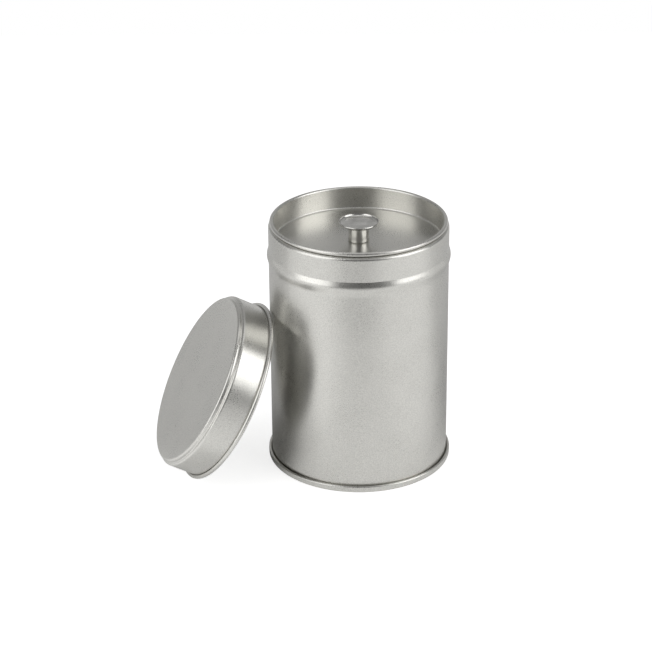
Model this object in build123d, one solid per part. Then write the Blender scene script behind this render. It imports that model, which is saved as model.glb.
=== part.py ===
from build123d import *
import math
import os

# A round storage tin with two lids. A press-in inner lid with a knob closes the mouth, and a
# slip-on outer lid has been taken off and leans against the wall. Lengths are in millimetres and
# angles in degrees. Z is up, and the origin is on the table, under the middle of the body.

# Sheet metal of every pressed piece
plate = 0.25
curl_width = 1.8             # outside width of the rolled edge of both lids
curl_turn = 300
overrun = 0.5                # how far a cut reaches past what it cuts

# Body
body_radius = 38.0           # outside of the plain wall
body_height = 107.3          # table to the top of the mouth's shoulder
mouth_lip = 2.0              # how far the mouth turns in from the outside of the wall
shoulder_share = 0.74        # the shoulder's outer bend, as a share of its two bend radii
throat_depth = 2.2           # straight guide below the mouth's inner bend
bead_height = 93.6           # table to the crest of the stop bead
bead_projection = 0.74
bead_lower_width = 4.0       # below the crest
lower_foot_bend = 7.0        # where the bead leaves the plain wall
lower_crest_bend = 1.0
bead_upper_width = 3.05      # above the crest
upper_crest_bend = 4.0
upper_foot_bend = 0.5        # where the bead meets the collar

# Lock seam down the back of the body
fold_width = 4.0
fold_layers = 2              # layers of sheet that stand on the inside of the wall
fold_end_gap = 0.6           # bare wall left above the base panel and below the mouth's shoulder
groove_width = 0.35
groove_depth = 0.1

# Base and the double seam that joins it to the body
seam_height = 2.95
seam_play = 0.23             # between the layers of the double seam
hook_length = 1.4
foot_bend = 0.6
base_rise = 3.2              # table to the underside of the base's outer panel
base_corner_bend = 0.8
base_step_radius = 31.0      # middle of the stiffening step in the base
base_step_depth = 0.5
base_step_width = 1.6
base_step_share = 0.5        # the step's outer bend, as a share of its two bend radii

# Inner lid
lid_play = 0.15              # between the inner lid's wall and the mouth
seat_gap = 0.15              # between the inner lid's rolled edge and the mouth's shoulder
pan_depth = 9.75             # top of the rolled edge down to the floor
pan_corner_bend = 0.9

# Knob of the inner lid, on the pan's floor
knob_height = 8.7
knob_head_radius = 8.5
knob_rim_thickness = 0.8
knob_dish_depth = 1.0
knob_dish_wall = 1.1         # how wide the dish's rounded wall is, inside the rim
knob_head_thickness = 0.65   # under the dish's flat floor
knob_shelf_radius = 7.2      # where the head's underside turns up to the rim
knob_neck_radius = 4.7
knob_neck_height = 6.1
knob_waist_radius = 4.35
knob_waist_height = 3.8
knob_foot_radius = 4.5
knob_foot_round = 0.5

# Rivet that holds the knob from below
rivet_radius = 1.5
rivet_length = 5.5           # from the rivet's head up into the knob
rivet_head_radius = 3.2
rivet_head_height = 0.8
rivet_edge_height = 0.25
rivet_play = 0.05            # around the shank, in the knob's bore and in the pan's hole
bore_end_gap = 0.4

# Outer lid
outer_lid_height = 15.5      # open edge to the top of the panel
outer_lid_play = 0.25        # between the body's collar and the skirt
outer_step = 1.3             # how far the skirt stands out from the neck under the panel
outer_step_height = 1.5
outer_edge_bend = 0.9
outer_neck_length = 0.3
outer_step_share = 0.45      # the step's inner bend, as a share of its two bend radii

# How the outer lid leans on the body, with its panel facing out to the left and up
lean_tilt = 28.9             # panel's normal above the horizontal
lean_turn = 12.4             # from the left towards the front
lean_gap = 0.25              # between the lid's rolled edge and the body's wall


def run(length):
    """A straight stretch of sheet."""
    return length, 0


def bend(radius, angle):
    """A bend of the sheet's middle line. The angle is positive to the left."""
    return radius * math.radians(abs(angle)), angle


def joggle(across, along, first_share, side):
    """Two opposite bends that shift a sheet sideways. Side is 1 to the left and -1 to the right."""
    turn = 2 * math.atan2(across, along)
    bend_radii = along / math.sin(turn)
    angle = side * math.degrees(turn)
    return [
        bend(bend_radii * first_share, angle),
        bend(bend_radii * (1 - first_share), -angle),
    ]


def flank(across, along, first_radius, last_radius, side):
    """Like a joggle, with two given bend radii and a straight stretch between the bends."""
    bend_radii = first_radius + last_radius
    rest = bend_radii - across
    turn = math.asin(bend_radii / math.hypot(along, rest)) - math.atan2(rest, along)
    straight = (along - bend_radii * math.sin(turn)) / math.cos(turn)
    angle = side * math.degrees(turn)
    return [bend(first_radius, angle), run(straight), bend(last_radius, -angle)]


def heading_vector(heading):
    return Vector(math.cos(math.radians(heading)), math.sin(math.radians(heading)))


def along_step(spot, heading, step, share):
    """The point and heading at a share of the way along a run or bend."""
    length, angle = step
    if angle == 0:
        return spot + heading_vector(heading) * length * share, heading
    radius = length / math.radians(angle)
    to_centre = heading_vector(heading + 90) * radius
    later = heading + angle * share
    return spot + to_centre - heading_vector(later + 90) * radius, later


def sheet_section(start, heading, steps, left=plate / 2, right=plate / 2):
    """The section of a bent sheet, drawn as radius and height.

    Start is on the sheet's middle line. Left and right are how far the section reaches to each
    side of that line.
    """
    spot = Vector(*start)
    sides = {left: [], -right: []}
    for step in steps:
        places = [along_step(spot, heading, step, share) for share in (0, 0.5, 1)]
        for offset, edges in sides.items():
            ends = [place + heading_vector(way + 90) * offset for place, way in places]
            edges.append(ThreePointArc(*ends) if step[1] else Line(ends[0], ends[2]))
        spot, heading = places[2]
    left_edges, right_edges = sides[left], sides[-right]
    caps = [
        Line(left_edges[-1] @ 1, right_edges[-1] @ 1),
        Line(right_edges[0] @ 0, left_edges[0] @ 0),
    ]
    return make_face(left_edges + right_edges + caps)


def turned(section, angle=360):
    """A section turned about the body's axis."""
    return revolve(Plane.XZ * section, axis=Axis.Z, revolution_arc=angle).solid()


# Double seam: middle lines of its layers, from the inside outwards, and its bend centres
layer_pitch = plate + seam_play
wall_line = body_radius - plate / 2
chuck_line = wall_line - layer_pitch
base_hook_line = wall_line + layer_pitch
body_hook_line = base_hook_line + layer_pitch
seaming_line = body_hook_line + layer_pitch
wall_foot = plate + seam_play + plate / 2 + layer_pitch
seam_top_bend = seam_height - plate / 2 - layer_pitch

# Shoulder and throat of the body's mouth
mouth_radius = body_radius - mouth_lip
throat_line = mouth_radius + plate / 2
shoulder_bend = (wall_line - throat_line) * shoulder_share
shoulder_foot = body_height - plate / 2 - shoulder_bend

# Inner lid, from the mouth inwards
curl_bend = (curl_width - plate) / 2
pan_line = mouth_radius - lid_play - plate / 2
rim_height = body_height + seat_gap + curl_width
pan_floor = rim_height - pan_depth
pan_underside = pan_floor - plate

# Outer lid, from the body's collar outwards
skirt_line = body_radius + outer_lid_play + plate / 2
outer_curl_line = skirt_line + curl_bend


def body_wall_steps():
    """The plain wall, the stop bead and the collar, from the double seam up to the shoulder."""
    return [
        run(bead_height - bead_lower_width - wall_foot),
        *flank(bead_projection, bead_lower_width, lower_foot_bend, lower_crest_bend, -1),
        *flank(bead_projection, bead_upper_width, upper_crest_bend, upper_foot_bend, 1),
        run(shoulder_foot - bead_height - bead_upper_width),
    ]


def seam_band(low, high, width, inwards, outwards):
    """A narrow upright band of the body's wall at its back, between two heights."""
    wall = sheet_section((wall_line, wall_foot), 90, body_wall_steps(), inwards, outwards)
    angle = math.degrees(width / body_radius)
    band = turned(wall, angle).rotate(Axis.Z, 90 - angle / 2)
    reach = 2 * (body_radius + bead_projection + overrun)
    return band & Pos(0, 0, (low + high) / 2) * Box(reach, reach, high - low)


def body_shell():
    """The rolled wall, from its seam hook up to the turned-in mouth, with its lock seam."""
    steps = [
        run(hook_length),
        bend(layer_pitch, -180),
        *body_wall_steps(),
        bend(shoulder_bend, 90),
        bend(wall_line - shoulder_bend - throat_line, 90),
        run(throat_depth),
    ]
    shell = turned(sheet_section((body_hook_line, wall_foot + hook_length), -90, steps))
    fold_foot = base_rise + plate + fold_end_gap
    fold_in = plate / 2 + fold_layers * plate
    fold = seam_band(fold_foot, shoulder_foot - fold_end_gap, fold_width, fold_in, 0)
    groove_in = groove_depth - plate / 2
    groove = seam_band(seam_height, shoulder_foot, groove_width, groove_in, plate / 2 + overrun)
    return shell + fold - groove


def base_end():
    """The pressed base: its half of the double seam, the foot and the raised panel."""
    foot_line = plate / 2
    panel_line = base_rise + plate / 2
    panel_radius = chuck_line - base_corner_bend
    steps = [
        run(hook_length),
        bend(layer_pitch, -180),
        run(seam_top_bend - foot_line - foot_bend),
        bend(foot_bend, -90),
        run(seaming_line - chuck_line - 2 * foot_bend),
        bend(foot_bend, -90),
        run(panel_line - base_corner_bend - foot_line - foot_bend),
        bend(base_corner_bend, 90),
        run(panel_radius - base_step_radius - base_step_width / 2),
        *joggle(base_step_depth, base_step_width, base_step_share, -1),
        run(base_step_radius - base_step_width / 2),
    ]
    return turned(sheet_section((base_hook_line, seam_top_bend - hook_length), 90, steps))


def inner_lid_pan():
    """The press-in lid: a flat floor with a hole for the rivet, a wall and a rolled edge."""
    floor_line = pan_floor - plate / 2
    hole_radius = rivet_radius + rivet_play
    steps = [
        run(pan_line - pan_corner_bend - hole_radius),
        bend(pan_corner_bend, 90),
        run(rim_height - curl_width / 2 - floor_line - pan_corner_bend),
        bend(curl_bend, -curl_turn),
    ]
    return turned(sheet_section((hole_radius, floor_line), 0, steps))


def inner_lid_knob():
    """The turned knob: a slightly waisted stem and a thin dished head, bored for its rivet."""
    rim_round = knob_rim_thickness / 2
    rim_inside = knob_head_radius - rim_round
    foot_inside = knob_foot_radius - knob_foot_round
    dish_floor = knob_height - knob_dish_depth
    dish_edge = (rim_inside - knob_dish_wall, dish_floor)
    dish_middle = (0, dish_floor)
    foot_low = (foot_inside, 0)
    foot_high = (knob_foot_radius, knob_foot_round)
    waist = (knob_waist_radius, knob_waist_height)
    neck = (knob_neck_radius, knob_neck_height)
    shelf = (knob_shelf_radius, dish_floor - knob_head_thickness)
    rim_low = (rim_inside, knob_height - knob_rim_thickness)
    rim_edge = (knob_head_radius, knob_height - rim_round)
    rim_high = (rim_inside, knob_height)
    outline = [
        Line((0, 0), foot_low),
        TangentArc(foot_low, foot_high, tangent=(1, 0)),
        ThreePointArc(foot_high, waist, neck),
        Line(neck, shelf),
        Line(shelf, rim_low),
        ThreePointArc(rim_low, rim_edge, rim_high),
        TangentArc(dish_edge, rim_high, tangent=(1, 0)),
        Line(dish_edge, dish_middle),
        Line(dish_middle, (0, 0)),
    ]
    bore_depth = rivet_length - plate + bore_end_gap
    bore = Pos(0, 0, bore_depth / 2) * Cylinder(rivet_radius + rivet_play, bore_depth)
    return Pos(0, 0, pan_floor) * (turned(make_face(outline)) - bore)


def knob_rivet():
    """The rivet: a shank up through the pan into the knob and a low domed head under the pan."""
    dome = (0, -rivet_head_height)
    head_edge = (rivet_head_radius, -rivet_edge_height)
    outline = [
        Line(dome, (0, rivet_length)),
        Line((0, rivet_length), (rivet_radius, rivet_length)),
        Line((rivet_radius, rivet_length), (rivet_radius, 0)),
        Line((rivet_radius, 0), (rivet_head_radius, 0)),
        Line((rivet_head_radius, 0), head_edge),
        TangentArc(dome, head_edge, tangent=(1, 0)),
    ]
    return Pos(0, 0, pan_underside) * turned(make_face(outline))


def outer_lid():
    """The slip-on lid: panel, rounded edge, neck, step, skirt and rolled edge, as it leans."""
    neck_line = skirt_line - outer_step
    panel_line = outer_lid_height - plate / 2
    skirt_top = panel_line - outer_edge_bend - outer_neck_length - outer_step_height
    steps = [
        run(neck_line - outer_edge_bend),
        bend(outer_edge_bend, -90),
        run(outer_neck_length),
        *joggle(outer_step, outer_step_height, outer_step_share, 1),
        run(skirt_top - curl_width / 2),
        bend(curl_bend, curl_turn),
    ]
    return lean * turned(sheet_section((0, panel_line), 0, steps))


def leaning_place():
    """Where the outer lid leans: its rolled edge on the table and against the body's wall."""
    turn = math.radians(lean_turn)
    tilt = math.radians(lean_tilt)
    away = Vector(-math.cos(turn), -math.sin(turn), 0)
    up = Vector(0, 0, 1)
    normal = away * math.cos(tilt) + up * math.sin(tilt)
    distance = body_radius + lean_gap + curl_width / 2 + outer_curl_line * math.sin(tilt)
    height = curl_width / 2 + outer_curl_line * math.cos(tilt)
    middle = away * distance + up * height - normal * (curl_width / 2)
    return Plane(origin=middle, x_dir=up.cross(normal), z_dir=normal)


lean = leaning_place()

pieces = {
    "body_shell": body_shell,
    "base_end": base_end,
    "inner_lid_pan": inner_lid_pan,
    "inner_lid_knob": inner_lid_knob,
    "knob_rivet": knob_rivet,
    "outer_lid": outer_lid,
}
os.makedirs("parts", exist_ok=True)
for name, make in pieces.items():
    export_step(make(), f"parts/{name}.step")
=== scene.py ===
import math

import bpy
from mathutils import Matrix, Vector


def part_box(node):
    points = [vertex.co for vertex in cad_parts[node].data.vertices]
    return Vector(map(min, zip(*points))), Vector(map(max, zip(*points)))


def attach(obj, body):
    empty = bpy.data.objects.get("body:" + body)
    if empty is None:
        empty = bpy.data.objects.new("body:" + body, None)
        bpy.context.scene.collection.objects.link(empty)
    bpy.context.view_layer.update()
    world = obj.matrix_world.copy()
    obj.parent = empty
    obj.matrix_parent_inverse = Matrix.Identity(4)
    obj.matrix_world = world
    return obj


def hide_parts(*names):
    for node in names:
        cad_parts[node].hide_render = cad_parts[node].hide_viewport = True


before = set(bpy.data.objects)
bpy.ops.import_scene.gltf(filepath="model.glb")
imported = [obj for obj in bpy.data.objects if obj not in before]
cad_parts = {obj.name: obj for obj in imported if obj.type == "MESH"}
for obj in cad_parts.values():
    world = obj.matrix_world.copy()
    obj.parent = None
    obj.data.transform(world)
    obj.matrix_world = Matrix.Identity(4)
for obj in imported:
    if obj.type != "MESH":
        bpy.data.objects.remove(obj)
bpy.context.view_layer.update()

# A round storage tin with two lids, in satin tinplate. Its inner lid is pressed into the mouth, and
# its outer lid leans on the wall. Sizes are in metres and angles in degrees. Z is up, and the origin
# is on the table under the middle of the body.
mm = 0.001
up = Vector((0, 0, 1))

# Sheet metal of every pressed piece
plate = 0.25 * mm
curl_width = 1.8 * mm
curl_turn = 300
seam_play = 0.23 * mm
hook_length = 1.4 * mm
foot_bend = 0.6 * mm

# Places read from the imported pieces
body_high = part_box("body_shell")[1]
base_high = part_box("base_end")[1]
pan_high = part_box("inner_lid_pan")[1]
knob_low, knob_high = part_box("inner_lid_knob")
rivet_low, rivet_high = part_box("knob_rivet")

# Body
layer_pitch = plate + seam_play
body_radius = body_high.x - 2 * layer_pitch
body_height = body_high.z
wall_line = body_radius - plate / 2
body_hook_line = wall_line + 2 * layer_pitch
wall_foot = plate + seam_play + plate / 2 + layer_pitch
seam_height = 2.95 * mm
mouth_lip = 2.0 * mm
throat_line = body_radius - mouth_lip + plate / 2
throat_depth = 2.2 * mm
shoulder_share = 0.74
shoulder_bend = (wall_line - throat_line) * shoulder_share
shoulder_foot = body_height - plate / 2 - shoulder_bend
bead_height = 93.6 * mm
bead_projection = 0.74 * mm
bead_lower_width = 4.0 * mm
lower_foot_bend = 7.0 * mm
lower_crest_bend = 1.0 * mm
bead_upper_width = 3.05 * mm
upper_crest_bend = 4.0 * mm
upper_foot_bend = 0.5 * mm

# Lock seam down the back of the body
base_rise = 3.2 * mm
fold_width = 4.0 * mm
fold_depth = 2 * plate
fold_end_gap = 0.6 * mm
fold_foot = base_rise + plate + fold_end_gap
fold_top = shoulder_foot - fold_end_gap
groove_width = 0.35 * mm
groove_depth = 0.1 * mm
groove_strip = fold_width / 2  # width of the strip of the outside that the groove is cut into

# Base
chuck_line = wall_line - layer_pitch
base_hook_line = wall_line + layer_pitch
seaming_line = base_high.x - plate / 2
seam_top_bend = seam_height - plate / 2 - layer_pitch
base_corner_bend = 0.8 * mm
base_step_radius = 31.0 * mm
base_step_depth = 0.5 * mm
base_step_width = 1.6 * mm
base_step_share = 0.5

# Inner lid
curl_bend = (curl_width - plate) / 2
pan_line = pan_high.x - curl_width + plate / 2
rim_height = pan_high.z
pan_floor = knob_low.z
pan_corner_bend = 0.9 * mm

# Knob of the inner lid
knob_head_radius = knob_high.x
knob_rim_thickness = 0.8 * mm
knob_dish_depth = 1.0 * mm
knob_dish_wall = 1.1 * mm
knob_head_thickness = 0.65 * mm
knob_shelf_radius = 7.2 * mm
knob_neck_radius = 4.7 * mm
knob_neck_height = 6.1 * mm
knob_waist_radius = 4.35 * mm
knob_waist_height = 3.8 * mm
knob_foot_radius = 4.5 * mm
knob_foot_round = 0.5 * mm
bore_end_gap = 0.4 * mm

# Rivet that holds the knob from below
rivet_radius = 1.5 * mm
rivet_play = 0.05 * mm
rivet_edge_height = 0.25 * mm
rivet_head_radius = rivet_high.x
rivet_seat = pan_floor - plate

# Outer lid, and how it leans on the body
outer_lid_height = 15.5 * mm
outer_lid_play = 0.25 * mm
outer_step = 1.3 * mm
outer_step_height = 1.5 * mm
outer_step_share = 0.45
outer_edge_bend = 0.9 * mm
outer_neck_length = 0.3 * mm
skirt_line = body_radius + outer_lid_play + plate / 2
lean_tilt = 28.9             # panel's normal above the horizontal
lean_turn = 12.4             # from the left towards the front
lean_gap = 0.25 * mm

# How finely the pieces are made
ring_sides = 240
arc_step = 10                # largest turn of an outline between two points of a bend
straight_hold = 0.35 * mm    # a point this far inside each end of a long straight keeps it flat
straight_hold_share = 1 / 3  # a straight gets none where that is this share of it or more
weld_gap = 0.001 * mm
smooth_angle = 40
facing_share = 0.5           # a face looks along an axis where its normal reaches this far along it

# Camera
aim_height = 55.0 * mm
camera_distance = 924.257 * mm
camera_elevation = 25.42
camera_yaw = -0.874          # small turns away from the aim keep the photograph's framing
camera_pitch = -0.255
camera_roll = 0.108
photo_width_px = 652
focal_length_px = 2155.66
sensor_width_mm = 36.0
nearest_seen = 0.25 * mm

# Noise in the metals
noise_reach = (0.3, 0.7)     # most of a noise lies between these
fine_layers = 2              # finer bumps in the grain and the waves
cloud_layers = 3             # finer bumps in the patches and clouds

# Tinplate: what its grain and its larger soft patches each add, in roughness and from dark to pale
grain_size = 0.42 * mm
grain_height = 0.008 * mm
grain_roughness = (-0.03, 0.03)
grain_tone = (0, 0.8)
patch_size = 16 * mm
patch_roughness = (0.28, 0.32)
patch_tone = (0, 0.2)
tinplate_dark = (0.555, 0.549, 0.521, 1)
tinplate_pale = (0.765, 0.757, 0.719, 1)

# Two small marks on it, with the radii between which each fades out, and the painted shadow line in its
# groove
mark_colour = (0.45, 0.44, 0.41, 1)
panel_mark = (-78.2 * mm, -22.9 * mm, 23.4 * mm)
panel_mark_reach = (0.2 * mm, 0.6 * mm)
pan_mark = (24.4 * mm, -1.4 * mm, pan_floor)
pan_mark_reach = (0.1 * mm, 0.4 * mm)
# Painted shade: a dark colour in the groove that stands for the shadow inside it
groove_shadow_colour = (0.2, 0.19, 0.17, 1)
groove_shadow_overrun = 0.0035 * mm  # the painted shadow line reaches this far past the groove's walls
groove_shadow_side = groove_width / 2 + groove_shadow_overrun
groove_shadow_low = (-groove_shadow_side, body_radius - plate, seam_height)
groove_shadow_high = (groove_shadow_side, body_radius + bead_projection, shoulder_foot)

# Polished aluminium of the knob and its rivet
aluminium_dark = (0.52, 0.515, 0.49, 1)
aluminium_pale = (0.74, 0.733, 0.705, 1)
aluminium_roughness = (0.15, 0.21)
knob_wave_size = 2.6 * mm
knob_wave_height = 0.06 * mm
knob_cloud_size = 4.5 * mm

# Lamps, by their direction from the tin
lamp_distance = 1.1
softboxes = {
    "lamp_front_left": {"azimuth": -56, "elevation": 27, "width": 1.02, "height": 1.16, "radiance": 1.36},
    "lamp_front_right": {"azimuth": 67, "elevation": 29, "width": 0.88, "height": 1.0, "radiance": 1.9},
    "lamp_overhead": {"azimuth": 0, "elevation": 100, "width": 1.0, "height": 0.5, "radiance": 0.7},
}

# White table
white = (1, 1, 1, 1)
floor_size = 1.2
floor_colour = (0.68, 0.68, 0.68, 1)
camera_glow = 0.75           # what the camera sees of the floor beside its lit colour
mirror_glow = 0.4            # what metal sees of it beside its lit colour, away from the spots below
back_shadow_share = 0.3             # painted shadow: how much of that is left behind the tin
back_shadow_fade = (-0.02, 0.06)    # where, towards the back, it drops to that share

# Painted shadows of the tin, the lid and the camera, and a painted pool of light beside the lid, in what
# metal sees of the floor: spots where metal sees another share of that glow, and the radii between which
# that share fades
painted_light_and_shade_spots = {
    "behind_tin": {"middle": (0.02, 0.1, 0), "share": 0, "reach": (0.06, 0.16)},
    "inside_lid": {"middle": (-0.06, 0.02, 0), "share": 0, "reach": (0.035, 0.06)},
    "under_lid": {"middle": (-0.067, -0.043, 0), "share": 0.5, "reach": (0.012, 0.032)},
    "beside_lid": {"middle": (-0.14, -0.09, 0), "share": 1.35, "reach": (0.06, 0.1)},
    "before_tin": {"middle": (0.015, -0.1, 0), "share": 0.85, "reach": (0.03, 0.08)},
    "at_camera": {"middle": (0, -0.28, 0), "share": 0.4, "reach": (0.06, 0.16)},
}

# Studio, by direction: its levels, and where they fade into each other along an axis
horizon_level = 0.8
horizon_fade = (0, 0.15)
middle_level = 0.44
side_level = 0.2
side_fade = (0.3, 0.85)
ceiling_level = 0.33
ceiling_fade = (0.4, 0.8)
front_share = 0.19           # how much of these is left in front, around the camera
front_fade = (-0.95, -0.6)


def run(length):
    """A straight stretch of sheet."""
    return length, 0


def bend(radius, angle):
    """A bend of the sheet's middle line. The angle is positive to the left."""
    return radius * math.radians(abs(angle)), angle


def joggle(across, along, first_share, side):
    """Two opposite bends that shift a sheet sideways. Side is 1 to the left and -1 to the right."""
    turn = 2 * math.atan2(across, along)
    bend_radii = along / math.sin(turn)
    angle = side * math.degrees(turn)
    return [
        bend(bend_radii * first_share, angle),
        bend(bend_radii * (1 - first_share), -angle),
    ]


def flank(across, along, first_radius, last_radius, side):
    """Like a joggle, with given bend radii and a straight between them, which touches both circles."""
    bend_radii = first_radius + last_radius
    rest = bend_radii - across
    turn = math.asin(bend_radii / math.hypot(along, rest)) - math.atan2(rest, along)
    straight = (along - bend_radii * math.sin(turn)) / math.cos(turn)
    angle = side * math.degrees(turn)
    return [bend(first_radius, angle), run(straight), bend(last_radius, -angle)]


def heading_vector(heading):
    """A unit vector in the plane of an outline. Heading 0 is outwards, and 90 is up."""
    return Vector((math.cos(math.radians(heading)), math.sin(math.radians(heading))))


def along_step(spot, heading, length, angle, share):
    """The point at a share of the way along a run or bend."""
    if angle == 0:
        return spot + heading_vector(heading) * length * share
    radius = length / math.radians(angle)
    later = heading + angle * share
    return spot + (heading_vector(heading + 90) - heading_vector(later + 90)) * radius


def step_shares(length, angle):
    """Where a run or bend gets its points, as shares of its length."""
    if angle:
        count = math.ceil(abs(angle) / arc_step)
        return [index / count for index in range(1, count + 1)]
    hold = straight_hold / length
    return [hold, 1 - hold, 1] if hold < straight_hold_share else [1]


def middle_line(start, heading, steps):
    """Points along the middle line of a bent sheet, as radius and height."""
    spot = Vector(start)
    points = [spot]
    for length, angle in steps:
        shares = step_shares(length, angle)
        points += [along_step(spot, heading, length, angle, share) for share in shares]
        spot, heading = points[-1], heading + angle
    return points


def arc_about(centre, start, end):
    """Points after the start on the shorter arc about a centre."""
    spoke = start - centre
    sweep = -spoke.angle_signed(end - centre)  # that angle is counted clockwise
    count = max(2, math.ceil(math.degrees(abs(sweep)) / arc_step))
    turns = [Matrix.Rotation(sweep * index / count, 2) for index in range(1, count + 1)]
    return [centre + turn @ spoke for turn in turns]


def arc_through(start, middle, end):
    """Points after the start on the arc through three points."""
    near, far = middle - start, end - start
    cross = 2 * (near.x * far.y - near.y * far.x)
    centre = start + Vector((
        far.y * near.length_squared - near.y * far.length_squared,
        near.x * far.length_squared - far.x * near.length_squared,
    )) / cross
    return arc_about(centre, start, middle) + arc_about(centre, middle, end)


def bowl(edge, foot):
    """Points after the edge of a round wall, down to its foot, where it runs level."""
    across = edge.x - foot.x
    rise = edge.y - foot.y
    radius = (across ** 2 + rise ** 2) / (2 * rise)
    return arc_about(foot + Vector((0, radius)), edge, foot)


def turned_surface(name, outline):
    """A surface of revolution: a plane is merged to a point, drawn along the outline and spun."""
    bpy.ops.object.select_all(action="DESELECT")
    first = outline[0]
    bpy.ops.mesh.primitive_plane_add(size=plate, location=(first.x, 0, first.y))
    piece = bpy.context.object
    piece.name = piece.data.name = name
    bpy.ops.object.transform_apply(location=True, rotation=True, scale=True)
    bpy.ops.object.mode_set(mode="EDIT")
    bpy.ops.mesh.select_mode(type="VERT")
    bpy.ops.mesh.select_all(action="SELECT")
    bpy.ops.mesh.merge(type="CENTER")
    for here, there in zip(outline, outline[1:]):
        step = there - here
        bpy.ops.mesh.extrude_vertices_move(TRANSFORM_OT_translate={"value": (step.x, 0, step.y)})
    bpy.ops.mesh.select_all(action="SELECT")
    bpy.ops.mesh.spin(steps=ring_sides, angle=math.tau, center=(0, 0, 0), axis=up)
    bpy.ops.mesh.select_all(action="SELECT")
    bpy.ops.mesh.remove_doubles(threshold=weld_gap)
    bpy.ops.mesh.normals_make_consistent(inside=False)
    bpy.ops.object.mode_set(mode="OBJECT")
    return piece


def pressed_sheet(name, line):
    """A pressed piece: the surface of its middle line, with the sheet's thickness."""
    piece = turned_surface(name, line)
    sheet = piece.modifiers.new("sheet", "SOLIDIFY")
    sheet.thickness = plate
    sheet.offset = 0
    sheet.use_even_offset = True
    bpy.ops.object.modifier_apply(modifier=sheet.name)
    return piece


def finish_piece(piece, body, node, material):
    """Smooths a piece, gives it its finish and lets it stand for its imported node."""
    bpy.ops.object.select_all(action="DESELECT")
    piece.select_set(True)
    bpy.context.view_layer.objects.active = piece
    bpy.ops.object.shade_smooth_by_angle(angle=math.radians(smooth_angle))
    piece.data.materials.clear()
    piece.data.materials.append(material)
    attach(piece, body)
    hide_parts(node)


def select_faces(piece, wanted):
    """Selects the faces whose middle and normal are wanted, and nothing else, in edit mode."""
    bpy.ops.object.mode_set(mode="EDIT")
    bpy.ops.mesh.select_mode(type="FACE")
    bpy.ops.mesh.select_all(action="DESELECT")
    bpy.ops.object.mode_set(mode="OBJECT")
    for face in piece.data.polygons:
        face.select = wanted(face.center, face.normal)
    bpy.ops.object.mode_set(mode="EDIT")


def add_lock_seam(piece):
    """Folds the body's joint inside the wall and leaves a narrow groove outside, at the back."""
    cut = groove_width / 2

    def strip(middle, normal):
        outside = normal.y > facing_share
        return outside and abs(middle.x) < groove_strip / 2 and seam_height < middle.z < shoulder_foot

    def groove(middle, normal):
        return strip(middle, normal) and abs(middle.x) < cut

    def fold(middle, normal):
        inside = normal.y < -facing_share and middle.y > 0
        return inside and abs(middle.x) < fold_width / 2 and fold_foot < middle.z < fold_top

    for side in (-cut, cut):
        select_faces(piece, strip)
        bpy.ops.mesh.bisect(plane_co=(side, 0, 0), plane_no=(1, 0, 0))
    select_faces(piece, groove)
    bpy.ops.mesh.extrude_region_move(TRANSFORM_OT_translate={"value": (0, -groove_depth, 0)})
    select_faces(piece, fold)
    bpy.ops.mesh.extrude_region_move(TRANSFORM_OT_translate={"value": (0, -fold_depth, 0)})
    bpy.ops.object.mode_set(mode="OBJECT")


def make_body():
    """The rolled wall, from its seam hook up to the turned-in mouth, with its lock seam.

    Its straight parts are divided where the base seam, the fold of the lock seam and the bead end.
    """
    start = (body_hook_line, wall_foot + hook_length)
    steps = [
        run(hook_length),
        bend(layer_pitch, -180),
        run(seam_height - wall_foot),
        run(fold_foot - seam_height),
        run(bead_height - bead_lower_width - fold_foot),
        *flank(bead_projection, bead_lower_width, lower_foot_bend, lower_crest_bend, -1),
        *flank(bead_projection, bead_upper_width, upper_crest_bend, upper_foot_bend, 1),
        run(fold_top - bead_height - bead_upper_width),
        run(shoulder_foot - fold_top),
        bend(shoulder_bend, 90),
        bend(wall_line - shoulder_bend - throat_line, 90),
        run(throat_depth),
    ]
    piece = pressed_sheet("body_sheet", middle_line(start, -90, steps))
    add_lock_seam(piece)
    return piece


def make_base():
    """The pressed base: its half of the double seam, the foot and the raised panel."""
    foot_line = plate / 2
    panel_line = base_rise + plate / 2
    start = (base_hook_line, seam_top_bend - hook_length)
    steps = [
        run(hook_length),
        bend(layer_pitch, -180),
        run(seam_top_bend - foot_line - foot_bend),
        bend(foot_bend, -90),
        run(seaming_line - chuck_line - 2 * foot_bend),
        bend(foot_bend, -90),
        run(panel_line - base_corner_bend - foot_line - foot_bend),
        bend(base_corner_bend, 90),
        run(chuck_line - base_corner_bend - base_step_radius - base_step_width / 2),
        *joggle(base_step_depth, base_step_width, base_step_share, -1),
        run(base_step_radius - base_step_width / 2),
    ]
    return pressed_sheet("base_sheet", middle_line(start, 90, steps))


def make_inner_lid():
    """The press-in lid: a flat floor with a hole for the rivet, a wall and a rolled edge."""
    floor_line = pan_floor - plate / 2
    hole_radius = rivet_radius + rivet_play
    start = (hole_radius, floor_line)
    steps = [
        run(pan_line - pan_corner_bend - hole_radius),
        bend(pan_corner_bend, 90),
        run(rim_height - curl_width / 2 - floor_line - pan_corner_bend),
        bend(curl_bend, -curl_turn),
    ]
    return pressed_sheet("inner_lid_sheet", middle_line(start, 0, steps))


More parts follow.
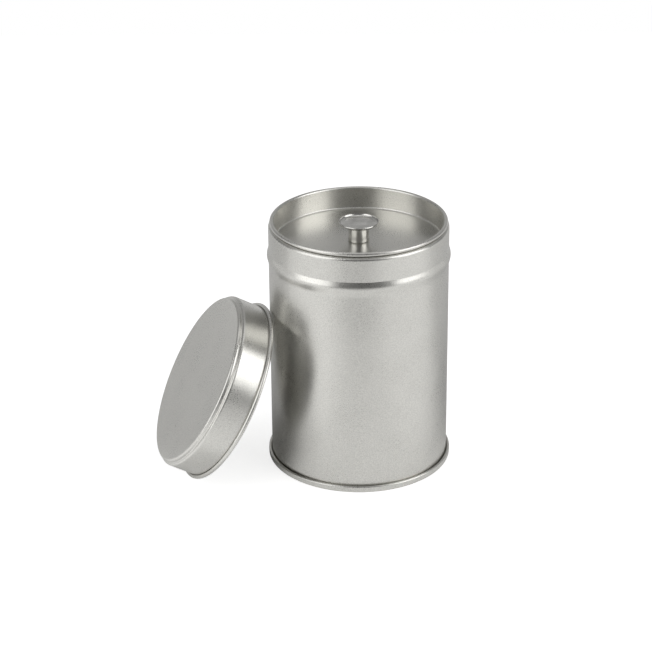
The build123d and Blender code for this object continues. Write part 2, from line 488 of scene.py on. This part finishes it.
def make_knob():
    """The turned knob: a slightly waisted stem and a thin dished head, bored for its rivet."""
    rim_round = knob_rim_thickness / 2
    rim_inside = knob_head_radius - rim_round
    bore_radius = rivet_radius + rivet_play
    bore_top = rivet_high.z + bore_end_gap
    bore_foot = Vector((bore_radius, knob_low.z))
    foot_high = Vector((knob_foot_radius, knob_low.z + knob_foot_round))
    waist = Vector((knob_waist_radius, knob_low.z + knob_waist_height))
    neck = Vector((knob_neck_radius, knob_low.z + knob_neck_height))
    dish_floor = knob_high.z - knob_dish_depth
    dish_edge = Vector((rim_inside - knob_dish_wall, dish_floor))
    shelf = Vector((knob_shelf_radius, dish_floor - knob_head_thickness))
    rim_low = Vector((rim_inside, knob_high.z - knob_rim_thickness))
    foot = [run(knob_foot_radius - knob_foot_round - bore_radius), bend(knob_foot_round, 90)]
    outline = [Vector((0, bore_top)), Vector((bore_radius, bore_top))]
    outline += middle_line(bore_foot, 0, foot)
    outline += arc_through(foot_high, waist, neck)
    outline += [shelf]
    outline += middle_line(rim_low, 0, [bend(rim_round, 180)])
    outline += bowl(outline[-1], dish_edge)
    outline += [Vector((0, dish_floor))]
    return turned_surface("inner_lid_knob_turned", outline)


def make_rivet():
    """The rivet: a shank up through the pan into the knob and a low domed head under the pan."""
    head_edge = Vector((rivet_head_radius, rivet_seat - rivet_edge_height))
    outline = [
        Vector((0, rivet_high.z)),
        Vector((rivet_radius, rivet_high.z)),
        Vector((rivet_radius, rivet_seat)),
        Vector((rivet_head_radius, rivet_seat)),
        head_edge,
    ]
    return turned_surface("knob_rivet_headed", outline + bowl(head_edge, Vector((0, rivet_low.z))))


def leaning_place():
    """Where the outer lid leans: its rolled edge on the table and against the body's wall."""
    turn, tilt = math.radians(lean_turn), math.radians(lean_tilt)
    away = Vector((-math.cos(turn), -math.sin(turn), 0))
    normal = away * math.cos(tilt) + up * math.sin(tilt)
    outer_curl_line = skirt_line + curl_bend
    distance = body_radius + lean_gap + curl_width / 2 + outer_curl_line * math.sin(tilt)
    height = curl_width / 2 + outer_curl_line * math.cos(tilt)
    middle = away * distance + up * height - normal * (curl_width / 2)
    side = up.cross(normal).normalized()
    turned = Matrix((side, normal.cross(side), normal)).transposed().to_4x4()
    return Matrix.Translation(middle) @ turned


def make_outer_lid():
    """The slip-on lid: panel, rounded edge, neck, step, skirt and rolled edge, as it leans."""
    neck_line = skirt_line - outer_step
    panel_line = outer_lid_height - plate / 2
    skirt_top = panel_line - outer_edge_bend - outer_neck_length - outer_step_height
    start = (0, panel_line)
    steps = [
        run(neck_line - outer_edge_bend),
        bend(outer_edge_bend, -90),
        run(outer_neck_length),
        *joggle(outer_step, outer_step_height, outer_step_share, 1),
        run(skirt_top - curl_width / 2),
        bend(curl_bend, curl_turn),
    ]
    piece = pressed_sheet("outer_lid_sheet", middle_line(start, 0, steps))
    piece.matrix_world = leaning_place()
    bpy.ops.object.transform_apply(location=True, rotation=True, scale=True)
    return piece


class Shading:
    """The nodes of a material or of the world. Most calls add a node and give what comes out of it."""

    def __init__(self, owner, shader, coordinates="Object", fading="LINEAR"):
        owner.use_nodes = True
        self.tree = owner.node_tree
        self.shader = self.tree.nodes[shader]
        self.fading = fading
        texture_coordinates = self.node("TexCoord").outputs
        self.place = texture_coordinates[coordinates]
        self.normal = texture_coordinates["Normal"]

    def feed(self, socket, value):
        """Gives a socket a plain value, or joins what comes out of another node to it."""
        if isinstance(value, bpy.types.NodeSocket):
            self.tree.links.new(value, socket)
        else:
            socket.default_value = value

    def set(self, name, value):
        """Feeds a socket of the shader itself."""
        self.feed(self.shader.inputs[name], value)

    def node(self, kind, inputs=None, **settings):
        """A new node. Its inputs are fed by name or number, once it has its settings."""
        node = self.tree.nodes.new("ShaderNode" + kind)
        for name, value in settings.items():
            setattr(node, name, value)
        for name, value in (inputs or {}).items():
            self.feed(node.inputs[name], value)
        return node

    def compute(self, operation, first, second=0):
        """The result of a sum with one or two numbers."""
        return self.node("Math", {0: first, 1: second}, operation=operation).outputs["Value"]

    def split(self, vector):
        """The three coordinates of a vector."""
        return self.node("SeparateXYZ", {"Vector": vector}).outputs

    def fade(self, value, reach, levels):
        """Goes from one level to another, as a value goes through its reach."""
        ends = zip(("From Min", "From Max", "To Min", "To Max"), (*reach, *levels))
        inputs = {"Value": value, **dict(ends)}
        return self.node("MapRange", inputs, interpolation_type=self.fading).outputs["Result"]

    def around(self, middle, reach, levels):
        """One level around a middle, and another away from it."""
        away = self.node("VectorMath", {0: self.place, 1: middle}, operation="DISTANCE")
        return self.fade(away.outputs["Value"], reach, levels)

    def inside_box(self, low, high):
        """1 where all three coordinates are between low and high, and 0 elsewhere."""
        inside = 1
        for value, start, end in zip(self.split(self.place), low, high):
            inside = self.compute("MULTIPLY", inside, self.compute("GREATER_THAN", value, start))
            inside = self.compute("MULTIPLY", inside, self.compute("LESS_THAN", value, end))
        return inside

    def noise(self, size, layers):
        """Noise with bumps of about a size, and layers of finer ones on them."""
        inputs = {"Vector": self.place, "Scale": 1 / size, "Detail": layers}
        return self.node("TexNoise", inputs).outputs["Fac"]

    def mix(self, share, first, second):
        """A colour between two: the first where the share is 0, the second where it is 1."""
        inputs = {"Factor": share, "A": first, "B": second}
        return self.node("Mix", inputs, data_type="RGBA").outputs["Result"]

    def bump(self, height, distance):
        """The surface's normal where a height of 1 stands a distance proud."""
        return self.node("Bump", {"Height": height, "Distance": distance}).outputs["Normal"]


def satin_tinplate():
    """Matte tinplate: a sandy grain, soft patches, two small marks and a painted shadow line in its
    groove.
    """
    material = bpy.data.materials.new("satin_tinplate")
    metal = Shading(material, "Principled BSDF")
    grain = metal.noise(grain_size, fine_layers)
    patches = metal.noise(patch_size, cloud_layers)

    def grain_and_patches(by_grain, by_patches):
        grain_part = metal.fade(grain, noise_reach, by_grain)
        return metal.compute("ADD", grain_part, metal.fade(patches, noise_reach, by_patches))

    on_panel = metal.around(panel_mark, panel_mark_reach, (1, 0))
    on_pan = metal.around(pan_mark, pan_mark_reach, (1, 0))
    marks = metal.compute("MAXIMUM", on_panel, on_pan)
    outside = metal.compute("GREATER_THAN", metal.split(metal.normal)["Y"], -facing_share)
    # Painted shade: the groove's outward faces are coloured dark to stand for the shadow in the groove
    groove = metal.compute("MULTIPLY", metal.inside_box(groove_shadow_low, groove_shadow_high), outside)
    colour = metal.mix(grain_and_patches(grain_tone, patch_tone), tinplate_dark, tinplate_pale)
    colour = metal.mix(marks, colour, mark_colour)
    colour = metal.mix(groove, colour, groove_shadow_colour)
    metal.set("Metallic", 1)
    metal.set("Base Color", colour)
    metal.set("Roughness", grain_and_patches(grain_roughness, patch_roughness))
    metal.set("Normal", metal.bump(grain, grain_height))
    return material


def polished_aluminium():
    """Turned and polished aluminium, slightly uneven and cloudy."""
    material = bpy.data.materials.new("polished_aluminium")
    metal = Shading(material, "Principled BSDF")
    grain = metal.noise(grain_size, fine_layers)
    waves = metal.noise(knob_wave_size, fine_layers)
    clouds = metal.fade(metal.noise(knob_cloud_size, cloud_layers), noise_reach, (0, 1))
    metal.set("Metallic", 1)
    metal.set("Base Color", metal.mix(clouds, aluminium_dark, aluminium_pale))
    metal.set("Roughness", metal.fade(grain, noise_reach, aluminium_roughness))
    metal.set("Normal", metal.bump(waves, knob_wave_height))
    return material


def make_tin():
    """All pieces, each with its body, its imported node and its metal."""
    tinplate = satin_tinplate()
    aluminium = polished_aluminium()
    finish_piece(make_body(), "tin", "body_shell", tinplate)
    finish_piece(make_base(), "tin", "base_end", tinplate)
    finish_piece(make_inner_lid(), "inner_lid", "inner_lid_pan", tinplate)
    finish_piece(make_knob(), "inner_lid", "inner_lid_knob", aluminium)
    finish_piece(make_rivet(), "inner_lid", "knob_rivet", aluminium)
    finish_piece(make_outer_lid(), "outer_lid", "outer_lid", tinplate)


def make_camera():
    """The photograph's view, from in front and above."""
    elevation = math.radians(camera_elevation)
    back = Vector((0, -math.cos(elevation), math.sin(elevation)))
    across = Vector((1, 0, 0))
    aimed = Matrix((across, back.cross(across), back)).transposed()
    yaw = Matrix.Rotation(math.radians(camera_yaw), 3, "Y")
    pitch = Matrix.Rotation(math.radians(camera_pitch), 3, "X")
    roll = Matrix.Rotation(math.radians(camera_roll), 3, "Z")
    turned = aimed @ (roll @ pitch @ yaw).transposed()
    bpy.ops.object.camera_add()
    camera = bpy.context.object
    camera.matrix_world = Matrix.Translation(up * aim_height + back * camera_distance) @ turned.to_4x4()
    camera.data.sensor_fit = "HORIZONTAL"
    camera.data.sensor_width = sensor_width_mm
    camera.data.lens = focal_length_px / photo_width_px * sensor_width_mm
    camera.data.clip_start = nearest_seen
    bpy.context.scene.camera = camera


def direction(azimuth, elevation):
    """A unit vector. Azimuth 0 is towards the camera's side, and 90 is to the right."""
    turn, rise = math.radians(azimuth), math.radians(elevation)
    return Vector((math.sin(turn) * math.cos(rise), -math.cos(turn) * math.cos(rise), math.sin(rise)))


def softbox(name, azimuth, elevation, width, height, radiance):
    """A rectangular lamp that faces the tin. Its radiance is what a mirror shows of it."""
    bpy.ops.object.light_add(type="AREA")
    lamp = bpy.context.object
    lamp.name = name
    lamp.data.shape = "RECTANGLE"
    lamp.data.size = width
    lamp.data.size_y = height
    lamp.data.energy = radiance * math.pi * width * height
    way = direction(azimuth, elevation)
    lamp.location = up * aim_height + way * lamp_distance
    lamp.rotation_euler = way.to_track_quat("Z", "Y").to_euler()
    lamp.visible_camera = False


def make_floor():
    """A white table that is pale by itself and still keeps the tin's shadow."""
    bpy.ops.mesh.primitive_plane_add(size=floor_size)
    floor = bpy.context.object
    floor.name = "floor"
    material = bpy.data.materials.new("white_table")
    table = Shading(material, "Principled BSDF", fading="SMOOTHSTEP")
    # Painted shade and light: the glow that metal sees is dimmer behind the tin and in the shadow spots,
    # and brighter beside the lid
    levels = (mirror_glow, mirror_glow * back_shadow_share)
    mirrored = table.fade(table.split(table.place)["Y"], back_shadow_fade, levels)
    for spot in painted_light_and_shade_spots.values():
        share = table.around(spot["middle"], spot["reach"], (spot["share"], 1))
        mirrored = table.compute("MULTIPLY", share, mirrored)
    seen_by = table.node("LightPath").outputs
    by_metal = table.compute("MULTIPLY", seen_by["Is Glossy Ray"], mirrored)
    by_camera = table.compute("MULTIPLY", seen_by["Is Camera Ray"], camera_glow)
    table.set("Base Color", floor_colour)
    table.set("Roughness", 1)
    table.set("Specular IOR Level", 0)
    table.set("Emission Color", white)
    table.set("Emission Strength", table.compute("ADD", by_metal, by_camera))
    floor.data.materials.append(material)


def make_world():
    """A plain studio: pale along the horizon, dimmer above it and at the sides, darkest in front."""
    world = bpy.data.worlds.new("studio")
    bpy.context.scene.world = world
    studio = Shading(world, "Background", coordinates="Generated", fading="SMOOTHSTEP")
    right, back, rise = studio.split(studio.place)
    aside = studio.fade(studio.compute("ABSOLUTE", right), side_fade, (middle_level, side_level))
    above = studio.fade(rise, ceiling_fade, (0, 1))
    walls = studio.compute("MULTIPLY", aside, studio.compute("SUBTRACT", 1, above))
    ceiling = studio.compute("MULTIPLY", above, ceiling_level)
    horizon = studio.fade(rise, horizon_fade, (horizon_level, 0))
    room = studio.compute("MAXIMUM", studio.compute("ADD", walls, ceiling), horizon)
    mirrored = studio.compute("MULTIPLY", room, studio.fade(back, front_fade, (front_share, 1)))
    seen_by_camera = studio.node("LightPath").outputs["Is Camera Ray"]
    studio.set("Color", white)
    studio.set("Strength", studio.compute("MAXIMUM", mirrored, seen_by_camera))


make_camera()
make_tin()
make_floor()
for lamp_name, lamp_values in softboxes.items():
    softbox(lamp_name, **lamp_values)
make_world()
bpy.context.scene.view_settings.view_transform = "Standard"
